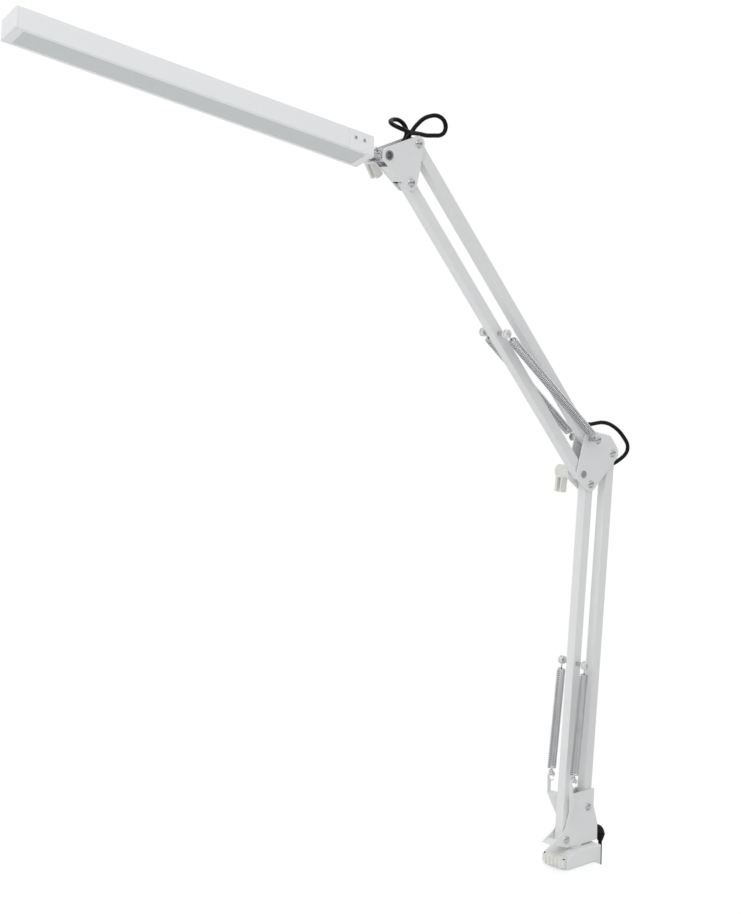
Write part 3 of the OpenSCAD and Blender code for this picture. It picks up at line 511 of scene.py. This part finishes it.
# %% The finishes of this lamp
white_coat = finish("white powder coat", (0.84, 0.84, 0.835), 0.012, 0.38, 0.5, 1500, 0.03 * MM)
bar_coat = finish("fine white coat", (0.88, 0.88, 0.88), 0.008, 0.34, 0.42, 2600, 0.015 * MM)
cream_plastic = finish("warm white plastic", (0.83, 0.825, 0.785), 0.015, 0.42, 0.55, 2200, 0.02 * MM)
nylon = finish("white nylon", (0.84, 0.84, 0.82), 0.01, 0.4, 0.5, 1800, 0.02 * MM)
zinc = finish("bright zinc plate", (0.58, 0.59, 0.6), 0.05, 0.16, 0.26, 1200, 0.01 * MM, metal=1.0)
spring_wire = finish("plated spring wire", (0.62, 0.63, 0.64), 0.06, 0.18, 0.28, 2400, 0.01 * MM,
                     metal=1.0)
# Blackened steel for the dark steel parts; the screw crosses wear it too, as painted recess shade.
blackened_steel_and_painted_shade = finish("blackened steel and painted recess shade", (0.07, 0.07, 0.075), 0.08, 0.3, 0.45, 1500, 0.01 * MM,
                     metal=0.6)
black_plastic = finish("black moulded plastic", (0.005, 0.005, 0.006), 0.15, 0.4, 0.55, 1800,
                       0.03 * MM, shine=0.16)
jacket = finish("black cord jacket", (0.004, 0.004, 0.005), 0.15, 0.14, 0.22, 900, 0.02 * MM,
                shine=0.14)
webbing = finish("woven tie", (0.02, 0.02, 0.022), 0.3, 0.7, 0.9, 1400, 0.15 * MM, stretch=(1, 6, 1))
opal = finish("opal diffuser", (0.66, 0.68, 0.68), 0.01, 0.5, 0.6, 3000, 0.01 * MM)
board_white = finish("white solder mask", (0.85, 0.86, 0.86), 0.01, 0.3, 0.4, 900, 0.01 * MM)
phosphor = finish("phosphor", (0.85, 0.72, 0.22), 0.04, 0.3, 0.4, 1800, 0.01 * MM)
dull_zinc = finish("dull zinc plate", (0.42, 0.42, 0.43), 0.06, 0.45, 0.55, 1400, 0.02 * MM, metal=1.0)
pad_rubber = finish("grey pad rubber", (0.03, 0.03, 0.03), 0.1, 0.6, 0.75, 1300, 0.04 * MM)

THREAD_PITCH, THREAD_DEPTH = 1.25 * MM, 0.4 * MM
WAVE_PERIOD = 0.314  # a wave texture at scale 1 repeats after this length
threaded = finish("threaded zinc", (0.55, 0.56, 0.57), 0.05, 0.22, 0.32, 1200, 0.01 * MM, metal=1.0)
thread_nodes, thread_links = threaded.node_tree.nodes, threaded.node_tree.links
turns = thread_nodes.new("ShaderNodeTexWave")
turns.bands_direction = "Z"
turns.inputs["Scale"].default_value = WAVE_PERIOD / THREAD_PITCH
thread_bump = thread_nodes["Bump"]
thread_bump.inputs["Strength"].default_value = 1.0
thread_bump.inputs["Distance"].default_value = THREAD_DEPTH
thread_place = thread_nodes["Texture Coordinate"]
thread_links.new(thread_place.outputs["Object"], turns.inputs["Vector"])
thread_links.new(turns.outputs["Fac"], thread_bump.inputs["Height"])

FINISH_OF_SLOT = {
    "white_paint": white_coat, "head_paint": bar_coat, "cream_plastic": cream_plastic,
    "white_nylon": nylon, "plated_steel": zinc, "spring_steel": spring_wire,
    "dark_steel": blackened_steel_and_painted_shade, "black_plastic": black_plastic, "cord_jacket": jacket,
    "tie_fabric": webbing, "diffuser": opal, "board_aluminium": board_white, "chip_plastic": phosphor,
}


def dress(piece, material):
    piece.data.materials.clear()
    piece.data.materials.append(material)


for piece in [elbow_lead, head_lead, supply_lead]:
    dress(piece, jacket)
for piece in springs:
    dress(piece, spring_wire)
# The crosses are painted shade, standing for the shade in the screws' recesses.
for piece in cross_shades:
    dress(piece, blackened_steel_and_painted_shade)
print(len(FINISH_OF_SLOT), "finishes")

# %% [markdown]
# ## The CAD pieces
# The solids come as loose triangles with knife edges. Real sheet metal and mouldings have a small
# radius on every edge, and it is what catches the light. Weld joins the triangles, Decimate takes
# out the flat seams between them, and Bevel rounds what is left, by more on mouldings than on sheet.

# %% Finish and soften each CAD node
# How far each node's edges are rounded, in millimetres
EDGE_OF_NODE = {
    "clamp_frame": 1.2, "clamp_insert": 0.35, "base_bracket": 0.3, "lower_front_tube": 0.8,
    "lower_rear_tube": 0.8, "upper_front_tube": 0.8, "upper_rear_tube": 0.8,
    "elbow_front_plate": 0.35, "elbow_back_plate": 0.35, "elbow_knob": 0.8, "head_knob": 0.8,
    "head_bracket": 0.35, "head_fork": 0.4, "end_block": 0.5, "housing": 0.45, "end_cap": 0.4,
    "pressure_pad": 0.5, "power_plug": 2.0, "coil_tie": 0.3, "lower_pin_caps": 0.25,
    "upper_pin_caps": 0.25, "head_link": 0.3, "elbow_bolt": 0.25, "swivel_bush": 0.3,
}
slot_of_node = {entry["node"]: entry["material_slot"] for entry in frame["record"]["subparts"]}
SAME_PLANE, SHARP = radians(0.5), radians(40)


def soften(node, width):
    """Rounds the edges of a CAD node without touching its mesh."""
    weld = node.modifiers.new("weld", "WELD")
    weld.merge_threshold = SAME_POINT
    flat = node.modifiers.new("flat", "DECIMATE")
    flat.decimate_type = "DISSOLVE"
    flat.angle_limit = SAME_PLANE
    edge = node.modifiers.new("edge", "BEVEL")
    edge.width = width * MM
    edge.segments = 3
    edge.limit_method = "ANGLE"
    edge.angle_limit = SHARP


for name, node in frame["nodes"].items():
    if name in slot_of_node:
        dress(node, FINISH_OF_SLOT[slot_of_node[name]])
        if name in EDGE_OF_NODE:
            soften(node, EDGE_OF_NODE[name])
dress(frame["nodes"]["pressure_pad"], pad_rubber)
dress(frame["nodes"]["elbow_bolt"], dull_zinc)
dress(frame["nodes"]["clamp_screw"], threaded)
print(len(EDGE_OF_NODE), "nodes softened")

# %% [markdown]
# ## Desk finish
# The desk is plain and white, so that the lamp's soft shadow is all that shows on it. To the camera
# alone it also glows a little, which lifts the lit desk to the white of the room.

# %% Desk finish
DESK_GLOW = 0.24
desk_white = finish("desk laminate", (0.93, 0.93, 0.93), 0.004, 0.5, 0.6, 600, 0.01 * MM)
desk_nodes, desk_links = desk_white.node_tree.nodes, desk_white.node_tree.links
desk_ray = desk_nodes.new("ShaderNodeLightPath")
glow = desk_nodes.new("ShaderNodeMath")
glow.operation = "MULTIPLY"
glow.inputs[1].default_value = DESK_GLOW
desk_links.new(desk_ray.outputs["Is Camera Ray"], glow.inputs[0])
desk_shader = desk_nodes["Principled BSDF"]
desk_shader.inputs["Emission Color"].default_value = (1, 1, 1, 1)
desk_links.new(glow.outputs[0], desk_shader.inputs["Emission Strength"])
dress(desk, desk_white)
